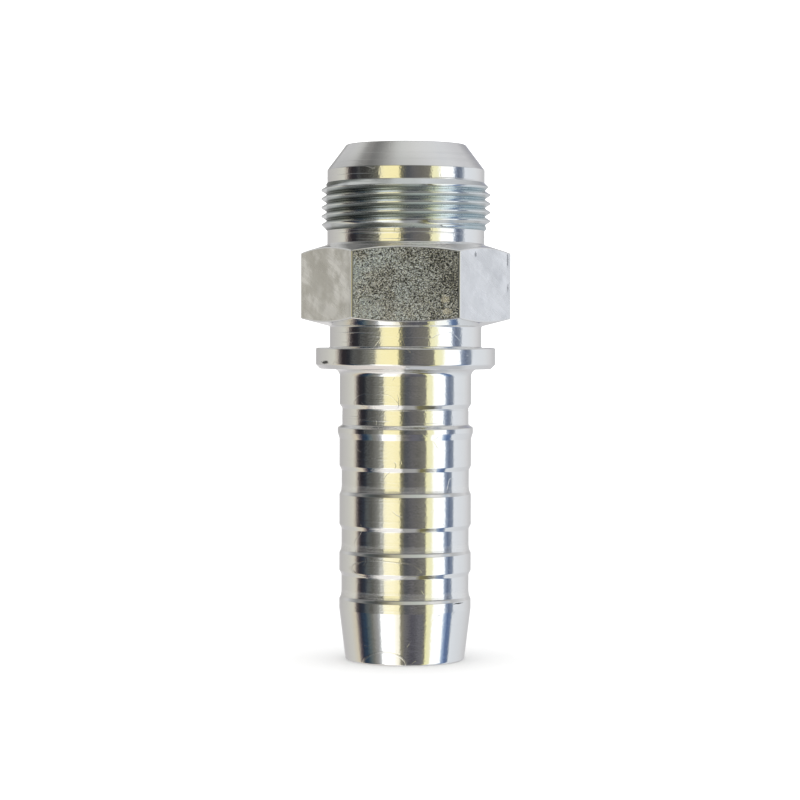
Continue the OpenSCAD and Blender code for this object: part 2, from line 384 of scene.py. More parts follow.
# Turned body
# Free-cutting steel bar, turned to the grooved hose tail, the collar and its lock groove, the neck and
# the nose with its 37-degree seat, and bored right through. Sizes are in millimetres, as in the drawing.
MM = 0.001
mount_sizes = {m["name"]: m["dims"] for m in frame["record"]["mounts"]}
box_high = Vector(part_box("hose_insert")[1]) / MM
BORE_R = mount_sizes["through_bore"]["r_mm"]
BORE_CHAMFER = 0.4
BORE_EDGE_ROUND = 0.1
TAIL_END_R = 29.1 / 2
TAIL_END_ROUND = 0.5
TAPER_LEN = 12.6
RIDGE_R = mount_sizes["hose_tail"]["r_mm"]
RIDGE_ROUND = 0.3
GROOVE_R = 31.15 / 2
GROOVE_LEN = 4.9
FOOT_RISE = 0.15
FOOT_LEN = 1.0
FOOT_SLOPE_LEN = 0.75
FOOT_ROUNDS = (1.2, 6.0)
SLOPE_LEN = 1.05
END_LAND_LEN = 2.3
LOW_RIDGE_LEN = 4.25
MID_RIDGE_LEN = 7.3
TOP_RIDGE_LEN = 6.6
LIP_R = mount_sizes["hose_lip"]["r_mm"]
LIP_LEN = 1.2
LIP_SLOPE_LEN = 1.5
LIP_STEP_LEN = 0.7
UPPER_GROOVE_R = 30.9 / 2
UPPER_GROOVE_LEN = 4.0
TOP_LAND_R = 16.1
TOP_LAND_LEN = 6.8
COLLAR_R = mount_sizes["collar"]["r_mm"]
COLLAR_LEN = 5.2
COLLAR_TOP_ROUND = 0.4
COLLAR_FOOT_CHAMFER = 1.1
COLLAR_FOOT_ROUND = 0.5
COLLAR_FILLET = 1.7
LOCK_GROOVE_R = 37.1 / 2
LOCK_GROOVE_LEN = 5.2
LOCK_GROOVE_ROUND = 0.4
HEX_LEN = 19.85
NECK_R = 38.4 / 2
NECK_LEN = 3.4
THREAD_LEN = 11.65
NOSE_LEN = 3.1
NOSE_TIP_R = 29.1 / 2
NOSE_TIP_ROUND = 0.4
TOTAL_LEN = box_high.z

low_groove_z = TAPER_LEN + END_LAND_LEN
groove_step = GROOVE_LEN + 2 * SLOPE_LEN
mid_groove_z = low_groove_z + groove_step + LOW_RIDGE_LEN
high_groove_z = mid_groove_z + groove_step + MID_RIDGE_LEN
lip_z = high_groove_z + groove_step + TOP_RIDGE_LEN + LIP_SLOPE_LEN
upper_groove_z = lip_z + LIP_LEN
top_land_z = upper_groove_z + LIP_STEP_LEN + UPPER_GROOVE_LEN + SLOPE_LEN
collar_z = top_land_z + TOP_LAND_LEN + COLLAR_FILLET
lock_groove_z = collar_z + COLLAR_LEN
hex_z = lock_groove_z + LOCK_GROOVE_LEN
neck_z = hex_z + HEX_LEN
thread_z = neck_z + NECK_LEN
nose_z = thread_z + THREAD_LEN
seat_z = nose_z + NOSE_LEN

# A rounding has three steps, or six where it is wide or turns far. It takes up to 0.45 of a side, and a
# point just beyond each of its ends holds the flat stretches flat.
ARC_STEPS = 3
WIDE_ARC = 1.5
WIDE_TURN = 1.0
MOST_OF_SIDE = 0.45
HOLD = 0.06
TURNED, LINED, SEAT, BORE, THREAD, FLAT, ROUGH_FLAT = range(7)


def groove(z):
    """Corners of one groove of the tail, from height z up."""
    return [
        (RIDGE_R, z, RIDGE_ROUND, TURNED),
        (GROOVE_R + FOOT_RISE, z + FOOT_SLOPE_LEN, FOOT_ROUNDS[0], TURNED),
        (GROOVE_R, z + FOOT_SLOPE_LEN + FOOT_LEN, FOOT_ROUNDS[1], TURNED),
        (GROOVE_R, z + SLOPE_LEN + GROOVE_LEN, RIDGE_ROUND, TURNED),
        (RIDGE_R, z + groove_step, RIDGE_ROUND, TURNED),
    ]


# Each corner is a radius, a height, its rounding and the finish of the surface that it starts. The path
# runs from the thread over the nose, down the bore, round the tail's end and up to the hexagon.
nose_to_hexagon = [
    (NECK_R, nose_z, 0, LINED),
    (NECK_R, seat_z, RIDGE_ROUND, SEAT),
    (NOSE_TIP_R, TOTAL_LEN, NOSE_TIP_ROUND, TURNED),
    (BORE_R + BORE_CHAMFER, TOTAL_LEN, BORE_EDGE_ROUND, TURNED),
    (BORE_R, TOTAL_LEN - BORE_CHAMFER, BORE_EDGE_ROUND, BORE),
    (BORE_R, BORE_CHAMFER, BORE_EDGE_ROUND, TURNED),
    (BORE_R + BORE_CHAMFER, 0, BORE_EDGE_ROUND, TURNED),
    (TAIL_END_R, 0, TAIL_END_ROUND, TURNED),
    (RIDGE_R, TAPER_LEN, RIDGE_ROUND, TURNED),
    *groove(low_groove_z),
    *groove(mid_groove_z),
    *groove(high_groove_z),
    (RIDGE_R, lip_z - LIP_SLOPE_LEN, RIDGE_ROUND, TURNED),
    (LIP_R, lip_z, RIDGE_ROUND, TURNED),
    (LIP_R, upper_groove_z, RIDGE_ROUND, TURNED),
    (UPPER_GROOVE_R, upper_groove_z + LIP_STEP_LEN, RIDGE_ROUND, LINED),
    (UPPER_GROOVE_R, top_land_z - SLOPE_LEN, RIDGE_ROUND, TURNED),
    (TOP_LAND_R, top_land_z, RIDGE_ROUND, TURNED),
    (TOP_LAND_R, collar_z, COLLAR_FILLET, TURNED),
    (COLLAR_R - COLLAR_FOOT_CHAMFER, collar_z, COLLAR_FOOT_ROUND, TURNED),
    (COLLAR_R, collar_z + COLLAR_FOOT_CHAMFER, COLLAR_FOOT_ROUND, TURNED),
    (COLLAR_R, lock_groove_z, COLLAR_TOP_ROUND, TURNED),
    (LOCK_GROOVE_R, lock_groove_z, LOCK_GROOVE_ROUND, LINED),
    (LOCK_GROOVE_R, hex_z, LOCK_GROOVE_ROUND, TURNED),
]


def rounded_path(corners):
    """Points (radius, height, finish, corner) along a path, with each corner rounded and held in shape."""
    start, second = (Vector(corner[:2]) for corner in corners[:2])
    end, last_but_one = (Vector(corner[:2]) for corner in (corners[-1], corners[-2]))
    path = [(*point, corners[0][3], 0) for point in (start, start + (second - start).normalized() * HOLD)]
    for i in range(1, len(corners) - 1):
        at = Vector(corners[i][:2])
        into, out = Vector(corners[i - 1][:2]) - at, Vector(corners[i + 1][:2]) - at
        half = into.angle(out) / 2
        room = MOST_OF_SIDE * min(into.length, out.length)
        reach = min(corners[i][2] / math.tan(half), room)
        radius = reach * math.tan(half)
        into_way, out_way = into.normalized(), out.normalized()
        centre = at + (into_way + out_way).normalized() * radius / math.sin(half)
        first = at + into_way * reach - centre
        turn = math.pi - 2 * half
        if into.cross(out) > 0:
            turn = -turn
        before, after = corners[i - 1][3], corners[i][3]
        steps = ARC_STEPS * (2 if abs(turn) > WIDE_TURN or radius > WIDE_ARC else 1)
        arc = []
        for k in range(steps + 1):
            share = turn * k / steps
            arc.append(centre + Vector((
                first.x * math.cos(share) - first.y * math.sin(share),
                first.x * math.sin(share) + first.y * math.cos(share),
            )))
        if room > reach + HOLD:
            path.append((*(at + into_way * (reach + HOLD)), before, i))
        path += [(*point, TURNED if after == FLAT else after, i) for point in arc[:-1]]
        path.append((*arc[-1], after, i))
        if room > reach + HOLD:
            path.append((*(at + out_way * (reach + HOLD)), after, i))
    held = end + (last_but_one - end).normalized() * HOLD
    path += [(*point, corners[-1][3], len(corners) - 1) for point in (held, end)]
    return path


# Hexagon
# The bar's own six flats, 1 3/4 inch apart, with turned chamfers that run out to the neck and the lock
# groove. The front flat was left rough, and the others are smooth from the drawing die.
HEX_FLAT_R = box_high.y
HEX_STEP = 60
HEX_HALF_STEP = HEX_STEP // 2
HEX_CORNER_R = HEX_FLAT_R / math.cos(math.radians(HEX_HALF_STEP))
HEX_TAIL_CHAMFER = math.tan(math.radians(14.5))
HEX_NOSE_CHAMFER = math.tan(math.radians(17.5))
HEX_EDGE_ROUND = 0.4
HEX_RIM_ROUND = 0.4
NECK_FOOT_ROUND = 0.4
# The mesh has 240 columns round the axis, 40 to each flat. Columns crowd at these angles from an edge,
# in degrees, and the fifth flat from +X on is the front one.
COLUMNS = 240
SECTOR = COLUMNS * HEX_STEP // 360
EDGE_ANGLES = (0.0, 0.13, 0.26, 0.39, 0.48, 0.6, 1.0)
FRONT_SECTOR = 4


def hexagon_angle(column):
    """Angle of a column on the hexagon, where columns crowd towards the six edges."""
    corner, k = divmod(column, SECTOR)
    near = min(k, SECTOR - k)
    last = len(EDGE_ANGLES) - 1
    if near <= last:
        offset = EDGE_ANGLES[near]
    else:
        offset = EDGE_ANGLES[last] + (HEX_HALF_STEP - EDGE_ANGLES[last]) * (near - last) / (SECTOR / 2 - last)
    return HEX_STEP * corner + (offset if k <= SECTOR / 2 else HEX_STEP - offset)


def hexagon_radius(angle):
    """Distance of the hexagon's outline from the axis at an angle, with its edges rounded."""
    off = math.radians((angle + HEX_HALF_STEP) % HEX_STEP - HEX_HALF_STEP)
    arc_centre = HEX_CORNER_R - HEX_EDGE_ROUND / math.sin(math.radians(HEX_STEP))
    side = HEX_EDGE_ROUND ** 2 - (arc_centre * math.sin(off)) ** 2
    on_flat = HEX_FLAT_R / math.cos(math.radians(HEX_HALF_STEP) - abs(off))
    if side <= 0:
        return on_flat
    return min(on_flat, arc_centre * math.cos(off) + math.sqrt(side))


def column_path(column):
    """The whole path at one column, as (radius, height, finish, angle) from the thread back to the thread."""
    turned_angle = 360 * column / COLUMNS
    flat_angle = hexagon_angle(column)
    out = hexagon_radius(flat_angle)
    corners = nose_to_hexagon + [
        (out, hex_z + (out - LOCK_GROOVE_R) * HEX_TAIL_CHAMFER, HEX_RIM_ROUND, FLAT),
        (out, neck_z - (out - NECK_R) * HEX_NOSE_CHAMFER, HEX_RIM_ROUND, TURNED),
        (NECK_R, neck_z, NECK_FOOT_ROUND, LINED),
        (NECK_R, thread_z, 0, LINED),
    ]
    first_flat = len(nose_to_hexagon)
    return [
        (r, z, finish, flat_angle if corner in (first_flat, first_flat + 1) else turned_angle)
        for r, z, finish, corner in rounded_path(corners)
    ]


body = bmesh.new()
columns = []
for column in range(COLUMNS):
    path = column_path(column)
    verts = []
    for r, z, _, angle in path:
        a = math.radians(angle)
        verts.append(body.verts.new((r * math.cos(a) * MM, r * math.sin(a) * MM, z * MM)))
    columns.append(verts)
finishes = [finish for _, _, finish, _ in path]
for column in range(COLUMNS):
    here, there = columns[column], columns[(column + 1) % COLUMNS]
    from_edge = min(column % SECTOR, SECTOR - 1 - column % SECTOR)
    flat_finish = ROUGH_FLAT if column // SECTOR == FRONT_SECTOR else FLAT
    if from_edge < len(EDGE_ANGLES) - 1:
        flat_finish = TURNED
    for k in range(len(here) - 1):
        face = body.faces.new((here[k], there[k], there[k + 1], here[k + 1]))
        face.material_index = flat_finish if finishes[k] == FLAT else finishes[k]

# Thread
# The right-hand 1 5/8-12 unified thread, cut on the bar with a single-point tool after both of its
# ends were chamfered. A grid is wound round the axis with its rows on the helix.
INCH = 25.4
THREAD_R = 1.625 * INCH / 2
THREAD_PITCH = INCH / 12
FLANK_TILT = math.radians(30)
THREAD_DEPTH = THREAD_PITCH * math.cos(FLANK_TILT) * 17 / 24
THREAD_ROOT_R = THREAD_R - THREAD_DEPTH
THREAD_CREST_WIDTH = THREAD_PITCH / 8
THREAD_CREST_ROUND = 0.08
THREAD_ROOT_ROUND = 0.6
THREAD_TURN = 107
THREAD_START_PAST = 0.3
THREAD_NOSE_SLOPE = math.tan(math.radians(45))
NOSE_RUN_OUT = (0.62, 0.25)
NECK_RUN_OUT = (1.25, 0.65)
# Points nearer than this become one, and shorter edges go, in metres.
WELD_GRID = 1e-6
WELD = 2e-6
EMPTY_EDGE = 1e-7
# The rows of one pitch, from crest to crest. They crowd on the crest's edges and in the root.
ROWS = (0.04, 0.054, 0.071, 0.088, 0.38, 0.41, 0.44, 0.47, 0.53, 0.56, 0.59, 0.62, 0.912, 0.929, 0.946, 0.96)
thread_start = thread_z - THREAD_PITCH - THREAD_START_PAST
full_flank = THREAD_DEPTH * math.tan(FLANK_TILT)
crest_z = thread_start + THREAD_PITCH - full_flank - THREAD_CREST_WIDTH / 2 - THREAD_PITCH * THREAD_TURN / 360
lowest_crest = crest_z - THREAD_PITCH * math.ceil((crest_z - thread_z) / THREAD_PITCH)

winding = bpy.data.node_groups.new("Thread on a helix", "GeometryNodeTree")
sizes = {
    "Thread Radius": THREAD_R * MM,
    "Root Radius": THREAD_ROOT_R * MM,
    "Neck Radius": NECK_R * MM,
    "Pitch": THREAD_PITCH * MM,
    "Crest Width": THREAD_CREST_WIDTH * MM,
    "Crest Rounding": THREAD_CREST_ROUND * MM,
    "Root Rounding": THREAD_ROOT_ROUND * MM,
    "Lower End": thread_z * MM,
    "Upper End": nose_z * MM,
    "Lowest Crest": lowest_crest * MM,
    "First Row": ROWS[0],
    "Nose Chamfer Slope": THREAD_NOSE_SLOPE,
    "Nose Run-out Start": (nose_z - NOSE_RUN_OUT[0]) * MM,
    "Nose Run-out End": (nose_z - NOSE_RUN_OUT[1]) * MM,
    "Neck Run-out Start": (thread_z + NECK_RUN_OUT[0]) * MM,
    "Neck Run-out End": (thread_z + NECK_RUN_OUT[1]) * MM,
}
counts = {"Columns": COLUMNS, "Rows per Pitch": len(ROWS)}
winding.interface.new_socket(name="Mesh", in_out="OUTPUT", socket_type="NodeSocketGeometry")
for name in sizes:
    winding.interface.new_socket(name=name, in_out="INPUT", socket_type="NodeSocketFloat")
for name in counts:
    winding.interface.new_socket(name=name, in_out="INPUT", socket_type="NodeSocketInt")
winding.interface.new_socket(name="Material", in_out="INPUT", socket_type="NodeSocketMaterial")
given = new_node(winding, "NodeGroupInput").outputs


def reckon(operation, *values):
    """A Math node's result in the thread's tree."""
    return calc(winding, operation, *values)


length = reckon("SUBTRACT", given["Upper End"], given["Lower End"])
turns = reckon("ADD", reckon("CEIL", reckon("DIVIDE", length, given["Pitch"])), 2)
row_count = reckon("MULTIPLY_ADD", turns, given["Rows per Pitch"], 1)
column_count = reckon("ADD", given["Columns"], 1)
grid = feed(winding, new_node(winding, "GeometryNodeMeshGrid"), Size_X=1.0, Size_Y=1.0,
            Vertices_X=column_count, Vertices_Y=row_count)
place = feed(winding, new_node(winding, "ShaderNodeSeparateXYZ"),
             in0=new_node(winding, "GeometryNodeInputPosition").outputs[0]).outputs
round_share = reckon("ADD", place["X"], 0.5)
row = reckon("MULTIPLY", reckon("ADD", place["Y"], 0.5), reckon("SUBTRACT", row_count, 1))
whole_rows = reckon("DIVIDE", row, given["Rows per Pitch"])
crowding = new_node(winding, "ShaderNodeFloatCurve")
bends = crowding.mapping.curves[0].points
for k, at in enumerate(ROWS):
    bend = bends[0] if k == 0 else bends.new(k / len(ROWS), at - ROWS[0])
    bend.handle_type = "VECTOR"
bends[-1].handle_type = "VECTOR"
crowding.mapping.update()
crowded = feed(winding, crowding, Value=reckon("FRACT", whole_rows)).outputs[0]
climb = reckon("ADD", reckon("ADD", reckon("FLOOR", whole_rows), crowded), given["First Row"])
wound = reckon("MULTIPLY", reckon("ADD", round_share, reckon("SUBTRACT", climb, 1)), given["Pitch"])
height = reckon("MAXIMUM", given["Lower End"], reckon("MINIMUM", given["Upper End"],
                reckon("ADD", given["Lowest Crest"], wound)))
turned_by = reckon("MULTIPLY", round_share, given["Pitch"])
from_crest = reckon("DIVIDE", reckon("SUBTRACT", reckon("SUBTRACT", height, given["Lowest Crest"]), turned_by),
                    given["Pitch"])
aside = reckon("ABSOLUTE", reckon("SUBTRACT", from_crest, reckon("ROUND", from_crest)))
down_flank = reckon("DIVIDE", reckon("SUBTRACT", reckon("MULTIPLY", aside, given["Pitch"]),
                    reckon("MULTIPLY", given["Crest Width"], 0.5)), math.tan(FLANK_TILT))
flank = reckon("SUBTRACT", given["Thread Radius"], down_flank)
crested = reckon("SMOOTH_MIN", flank, given["Thread Radius"], given["Crest Rounding"])
rooted = reckon("SMOOTH_MAX", crested, given["Root Radius"], given["Root Rounding"])
groove_height = reckon("MULTIPLY_ADD", reckon("ADD", reckon("FLOOR", from_crest), reckon("ADD", round_share, 0.5)),
                       given["Pitch"], given["Lowest Crest"])
filled = reckon("MAXIMUM", rise(winding, groove_height, given["Nose Run-out Start"], given["Nose Run-out End"]),
                rise(winding, groove_height, given["Neck Run-out Start"], given["Neck Run-out End"]))
run_out = reckon("MULTIPLY_ADD", reckon("SUBTRACT", given["Thread Radius"], rooted), filled, rooted)
to_end = reckon("MINIMUM", reckon("SUBTRACT", height, given["Lower End"]),
                reckon("MULTIPLY", reckon("SUBTRACT", given["Upper End"], height), given["Nose Chamfer Slope"]))
ended = reckon("SMOOTH_MIN", run_out, reckon("ADD", given["Neck Radius"], to_end), given["Crest Rounding"])
angle = reckon("MULTIPLY", round_share, 2 * math.pi)
wrapped = feed(winding, new_node(winding, "ShaderNodeCombineXYZ"),
               X=reckon("MULTIPLY", ended, reckon("COSINE", angle)),
               Y=reckon("MULTIPLY", ended, reckon("SINE", angle)), Z=height).outputs[0]
moved = feed(winding, new_node(winding, "GeometryNodeSetPosition"),
             Geometry=grid.outputs["Mesh"], Position=wrapped)
closed = feed(winding, new_node(winding, "GeometryNodeMergeByDistance"),
              Geometry=moved.outputs[0], Distance=WELD_GRID)
real = feed(winding, new_node(winding, "GeometryNodeRealizeInstances"), Geometry=closed.outputs[0])
finished = feed(winding, new_node(winding, "GeometryNodeSetMaterial"), Geometry=real.outputs[0],
                Material=given["Material"])
feed(winding, new_node(winding, "NodeGroupOutput"), Mesh=finished.outputs[0])

thread_metal = bpy.data.materials.new("zinc on the thread")
maker = bpy.data.objects.new("thread_maker", bpy.data.meshes.new("thread_maker"))
bpy.context.scene.collection.objects.link(maker)
wind = maker.modifiers.new("Thread on a helix", "NODES")
wind.node_group = winding
for socket in winding.interface.items_tree:
    if socket.in_out == "INPUT":
        wind[socket.identifier] = {**sizes, **counts, "Material": thread_metal}[socket.name]
ready = maker.evaluated_get(bpy.context.evaluated_depsgraph_get())
thread_mesh = bpy.data.meshes.new_from_object(ready)
bpy.data.objects.remove(maker)

thread_faces = len(body.faces)
body.from_mesh(thread_mesh)
body.faces.ensure_lookup_table()
for face in body.faces[thread_faces:]:
    face.material_index = THREAD
bmesh.ops.remove_doubles(body, verts=body.verts, dist=WELD)
bmesh.ops.dissolve_degenerate(body, edges=body.edges, dist=EMPTY_EDGE)
bmesh.ops.recalc_face_normals(body, faces=body.faces)
for face in body.faces:
    face.smooth = True
open_edges = sum(not edge.is_manifold for edge in body.edges)
volume = round(body.calc_volume() / MM ** 3, 1)
print("insert:", len(body.faces), "faces,", open_edges, "open edges,", volume, "mm3")
insert_mesh = bpy.data.meshes.new("zinc_plated_insert")
body.to_mesh(insert_mesh)
body.free()
insert = bpy.data.objects.new("zinc_plated_insert", insert_mesh)
bpy.context.scene.collection.objects.link(insert)
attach(insert, "root")
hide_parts("hose_insert")

# Finish
# Bright zinc plate. It shows the lathe's lines on the turned surfaces, more of them in the grooves and
# beside the thread. The thread is cut, the seat is satin, and the hexagon keeps the drawn bar's skin.


def object_place(tree):
    """The place on the piece, in metres from its origin."""
    return new_node(tree, "ShaderNodeTexCoord").outputs["Object"]


def object_axes(tree):
    """The place on the piece as X, Y and Z."""
    return feed(tree, new_node(tree, "ShaderNodeSeparateXYZ"), in0=object_place(tree)).outputs


def shader_group(name, inputs):
    """A shader group with float inputs; gives its tree, the place, its inputs and its output node."""
    made = bpy.data.node_groups.new(name, "ShaderNodeTree")
    for label, value in inputs.items():
        made.interface.new_socket(name=label, in_out="INPUT", socket_type="NodeSocketFloat").default_value = value
    for label in ("Height", "Mask"):
        made.interface.new_socket(name=label, in_out="OUTPUT", socket_type="NodeSocketFloat")
    return made, object_place(made), new_node(made, "NodeGroupInput").outputs, new_node(made, "NodeGroupOutput")


def noise(tree, place, scale, detail=2.0, roughness=0.5):
    """A noise texture's value; scale is in features to the metre, alike or along each axis."""
    if not isinstance(scale, tuple):
        scale = (scale, scale, scale)
    spread = feed(tree, new_node(tree, "ShaderNodeCombineXYZ"), in0=scale[0], in1=scale[1], in2=scale[2])
    stretched = new_node(tree, "ShaderNodeVectorMath", operation="MULTIPLY")
    feed(tree, stretched, in0=place, in1=spread.outputs[0])
    texture = new_node(tree, "ShaderNodeTexNoise")
    return feed(tree, texture, Vector=stretched.outputs[0], Scale=1.0, Detail=detail, Roughness=roughness).outputs[0]


def most(tree, first, *others):
    """The highest of the values."""
    for other in others:
        first = calc(tree, "MAXIMUM", first, other)
    return first


def distance(tree, first, second):
    """How far off a point is that lies first one way and second the other."""
    squares = [calc(tree, "MULTIPLY", way, way) for way in (first, second)]
    return calc(tree, "SQRT", calc(tree, "ADD", *squares))


# Lines that the lathe's tool left round the axis, a few of them deep.
FINE_LINE_SHARE = 0.2
DEEP_LINES_PER_LINE = 0.7
DEEP_FROM = (0.58, 0.66)
turning, place, given, out = shader_group("Turning lines", {"Lines per Metre": 1500.0, "Drift": 25.0})
drift, lines_per_metre = given["Drift"], given["Lines per Metre"]
fine = noise(turning, place, (drift, drift, lines_per_metre), 4.0, 0.65)
sparse = noise(turning, place, (drift, drift, calc(turning, "MULTIPLY", lines_per_metre, DEEP_LINES_PER_LINE)))
deep = rise(turning, sparse, *DEEP_FROM)
feed(turning, out, Height=calc(turning, "MULTIPLY_ADD", fine, FINE_LINE_SHARE, deep), Mask=deep)

# Wear from handling: hairline scratches, which follow the middle value of a slow noise, specks and haze.
SCRATCH_BENDS = 110.0
SCRATCH_WIDTH = 0.006
SCRATCHED_AREAS = (260.0, 260.0, 180.0)
SCRATCHED_FROM = (0.55, 0.62)
SPECKS = 650.0
SPECK_SIZE = (0.05, 0.22)
SPECKED_AREAS = 350.0
SPECKED_FROM = (0.56, 0.66)
RIPPLES = 900.0
RIPPLE_SHARE = 0.5
HAZE_CLOUDS = (700.0, 700.0, 1100.0)
HAZE_FROM = (0.46, 0.74)
HAZE_SHARE = 0.5
wear, place, given, out = shader_group("Handling wear", {"Scratches": 1.0})
contour = calc(wear, "ABSOLUTE", centred(wear, noise(wear, place, SCRATCH_BENDS, 1.0)))
scratched = rise(wear, noise(wear, place, SCRATCHED_AREAS, 1.0), *SCRATCHED_FROM)
scratch = product(wear, inverse(wear, rise(wear, contour, 0.0, SCRATCH_WIDTH)), scratched, given["Scratches"])
cells = feed(wear, new_node(wear, "ShaderNodeTexVoronoi"), Vector=place, Scale=SPECKS)
specked = rise(wear, noise(wear, place, SPECKED_AREAS), *SPECKED_FROM)
speck = product(wear, inverse(wear, rise(wear, cells.outputs["Distance"], *SPECK_SIZE)), specked)
ripple = noise(wear, place, RIPPLES)
haze = product(wear, rise(wear, noise(wear, place, HAZE_CLOUDS, 3.0, 0.65), *HAZE_FROM), HAZE_SHARE)
feed(wear, out, Height=calc(wear, "MULTIPLY_ADD", ripple, RIPPLE_SHARE, calc(wear, "MULTIPLY", scratch, -1.0)),
     Mask=most(wear, scratch, speck, haze))

# The drawn bar's skin: fine grains, which blotches thicken in places.
GRAIN_FROM = (0.36, 0.64)
BLOTCH_FROM = (0.35, 0.65)
BLOTCH_SHARE = 0.25
grit, place, given, out = shader_group("Drawn skin", {"Grains per Metre": 2600.0, "Blotches per Metre": 170.0})
grains = noise(grit, place, (given["Grains per Metre"],) * 3, 1.0)
blotches = noise(grit, place, (given["Blotches per Metre"],) * 3, 3.0, 0.6)
thickened = calc(grit, "ADD", grains, calc(grit, "MULTIPLY", centred(grit, blotches), BLOTCH_SHARE))
feed(grit, out, Height=rise(grit, thickened, *GRAIN_FROM), Mask=rise(grit, blotches, *BLOTCH_FROM))

# An oval rubbed into the plate on the camera's side, such as a drop leaves: its centre and half widths.
OVAL_LINE = (0.4, 1.0)
OVAL_EDGE = (0.85, 1.0)
OVAL_FILL = 0.25
CAMERA_SIDE = (0.0, -0.001)
oval, place, given, out = shader_group("Oval rub", {
    "Across": 0.0, "Up": 0.0, "Half Width": 0.005, "Half Height": 0.002, "Line": 0.1, "Wobble": 0.15,
    "Uneven per Metre": 250.0})
axes = feed(oval, new_node(oval, "ShaderNodeSeparateXYZ"), in0=place).outputs
sideways = calc(oval, "DIVIDE", calc(oval, "SUBTRACT", axes["X"], given["Across"]), given["Half Width"])
upwards = calc(oval, "DIVIDE", calc(oval, "SUBTRACT", axes["Z"], given["Up"]), given["Half Height"])
from_centre = distance(oval, sideways, upwards)
uneven = product(oval, centred(oval, noise(oval, place, (given["Uneven per Metre"],) * 3)), given["Wobble"])
off_line = calc(oval, "ABSOLUTE", calc(oval, "SUBTRACT", calc(oval, "ADD", from_centre, uneven), 1.0))
off_line = calc(oval, "DIVIDE", off_line, given["Line"])
facing = rise(oval, axes["Y"], *CAMERA_SIDE)
ring = product(oval, inverse(oval, rise(oval, off_line, *OVAL_LINE)), facing)
inside = product(oval, inverse(oval, rise(oval, from_centre, *OVAL_EDGE)), facing)
feed(oval, out, Height=ring, Mask=calc(oval, "MULTIPLY_ADD", inside, OVAL_FILL, ring))


def use(tree, group, **inputs):
    """Puts a shader group in a material and gives its outputs."""
    node = new_node(tree, "ShaderNodeGroup")
    node.node_tree = group
    return feed(tree, node, **inputs).outputs


BLOT_LINE = 2.5


def blots(tree, places, wobble, uneven):
    """Small irregular spots; each place is across, up, half width and half height, in metres."""
    return most(tree, *(
        use(tree, oval, Across=across, Up=up, Half_Width=wide, Half_Height=high, Line=BLOT_LINE, Wobble=wobble,
            Uneven_per_Metre=uneven)["Height"]
        for across, up, wide, high in places
    ))


def metal(name, colour, roughness):
    """A plated metal; gives the material, its tree and its Principled shader."""
    made = bpy.data.materials.get(name) or bpy.data.materials.new(name)
    made.use_nodes = True
    made.node_tree.nodes.clear()
    shader = new_node(made.node_tree, "ShaderNodeBsdfPrincipled")
    feed(made.node_tree, shader, Base_Color=colour, Metallic=1.0, Roughness=roughness)
    feed(made.node_tree, new_node(made.node_tree, "ShaderNodeOutputMaterial"), Surface=shader.outputs[0])
    return made, made.node_tree, shader


MICRON = 1e-6


def raise_surface(tree, shader, *layers):
    """Bump layers, each a height and the depth in microns that a height of 1 stands for."""
    normal = None
    for height, depth in layers:
        bump = feed(tree, new_node(tree, "ShaderNodeBump"), Height=height, Distance=depth * MICRON)
        if normal:
            feed(tree, bump, Normal=normal)
        normal = bump.outputs[0]
    feed(tree, shader, Normal=normal)


def between(tree, share, low, high):
    """A value that goes from low to high with share."""
    return calc(tree, "MULTIPLY_ADD", share, high - low, low)


# The turned body's bright plate, with three rubbed ovals, two nicks, and a chalky strip at the foot of
# each of the three lower grooves.
PLATE = (0.87, 0.87, 0.86)
BRIGHT_ROUGHNESS = (0.04, 0.24)
LINE_DULLNESS = 0.4
RUBS = (
    {"Across": -0.0047, "Up": 0.0004, "Half_Width": 0.0052, "Half_Height": 0.0028, "Line": 0.09},
    {"Across": -0.0052, "Up": 0.0230, "Half_Width": 0.0083, "Half_Height": 0.0023, "Line": 0.07, "Wobble": 0.35},
    {"Across": -0.0070, "Up": 0.0628, "Half_Width": 0.0056, "Half_Height": 0.0024, "Line": 0.05, "Wobble": 0.6},
)
TOP_RUB_SHARE = 0.5
NICK = {"wobble": 6.0, "uneven": 3000.0}
NICK_COLOUR = (0.05, 0.05, 0.05)
TURNED_NICKS = ((-0.01934, 0.07270, 0.0003, 0.00013), (0.0128, 0.01462, 0.0004, 0.00005))
CHALKY_STRIP = (0.95, 1.2, 2.3, 2.65)
CHALKY_METALLIC = 0.9
bright, tree, shader = metal("turned bright zinc", PLATE, 0.05)
lines = use(tree, turning, Lines_per_Metre=1300.0)
marks = use(tree, wear)
low_rub, mid_rub, top_rub = (use(tree, oval, **rub)["Mask"] for rub in RUBS)
rubbed = most(tree, low_rub, mid_rub, calc(tree, "MULTIPLY", top_rub, TOP_RUB_SHARE))
nicked = blots(tree, TURNED_NICKS, **NICK)
feed(tree, shader, Base_Color=blend_colours(tree, nicked, PLATE, NICK_COLOUR))
dull = most(tree, calc(tree, "MULTIPLY", lines["Mask"], LINE_DULLNESS), marks["Mask"], rubbed)
feed(tree, shader, Roughness=between(tree, dull, *BRIGHT_ROUGHNESS))
spot = object_axes(tree)
chalky = 0.0
for foot_z in (low_groove_z, mid_groove_z, high_groove_z):
    strip = window(tree, spot["Z"], *((foot_z + above) * MM for above in CHALKY_STRIP))
    chalky = calc(tree, "ADD", chalky, strip)
feed(tree, shader, Metallic=between(tree, chalky, 1.0, CHALKY_METALLIC))
mottle = noise(tree, object_place(tree), (1500.0, 1500.0, 2400.0), 1.0)
raise_surface(tree, shader, (lines["Height"], 4), (mottle, 8), (marks["Height"], 12), (rubbed, 15))

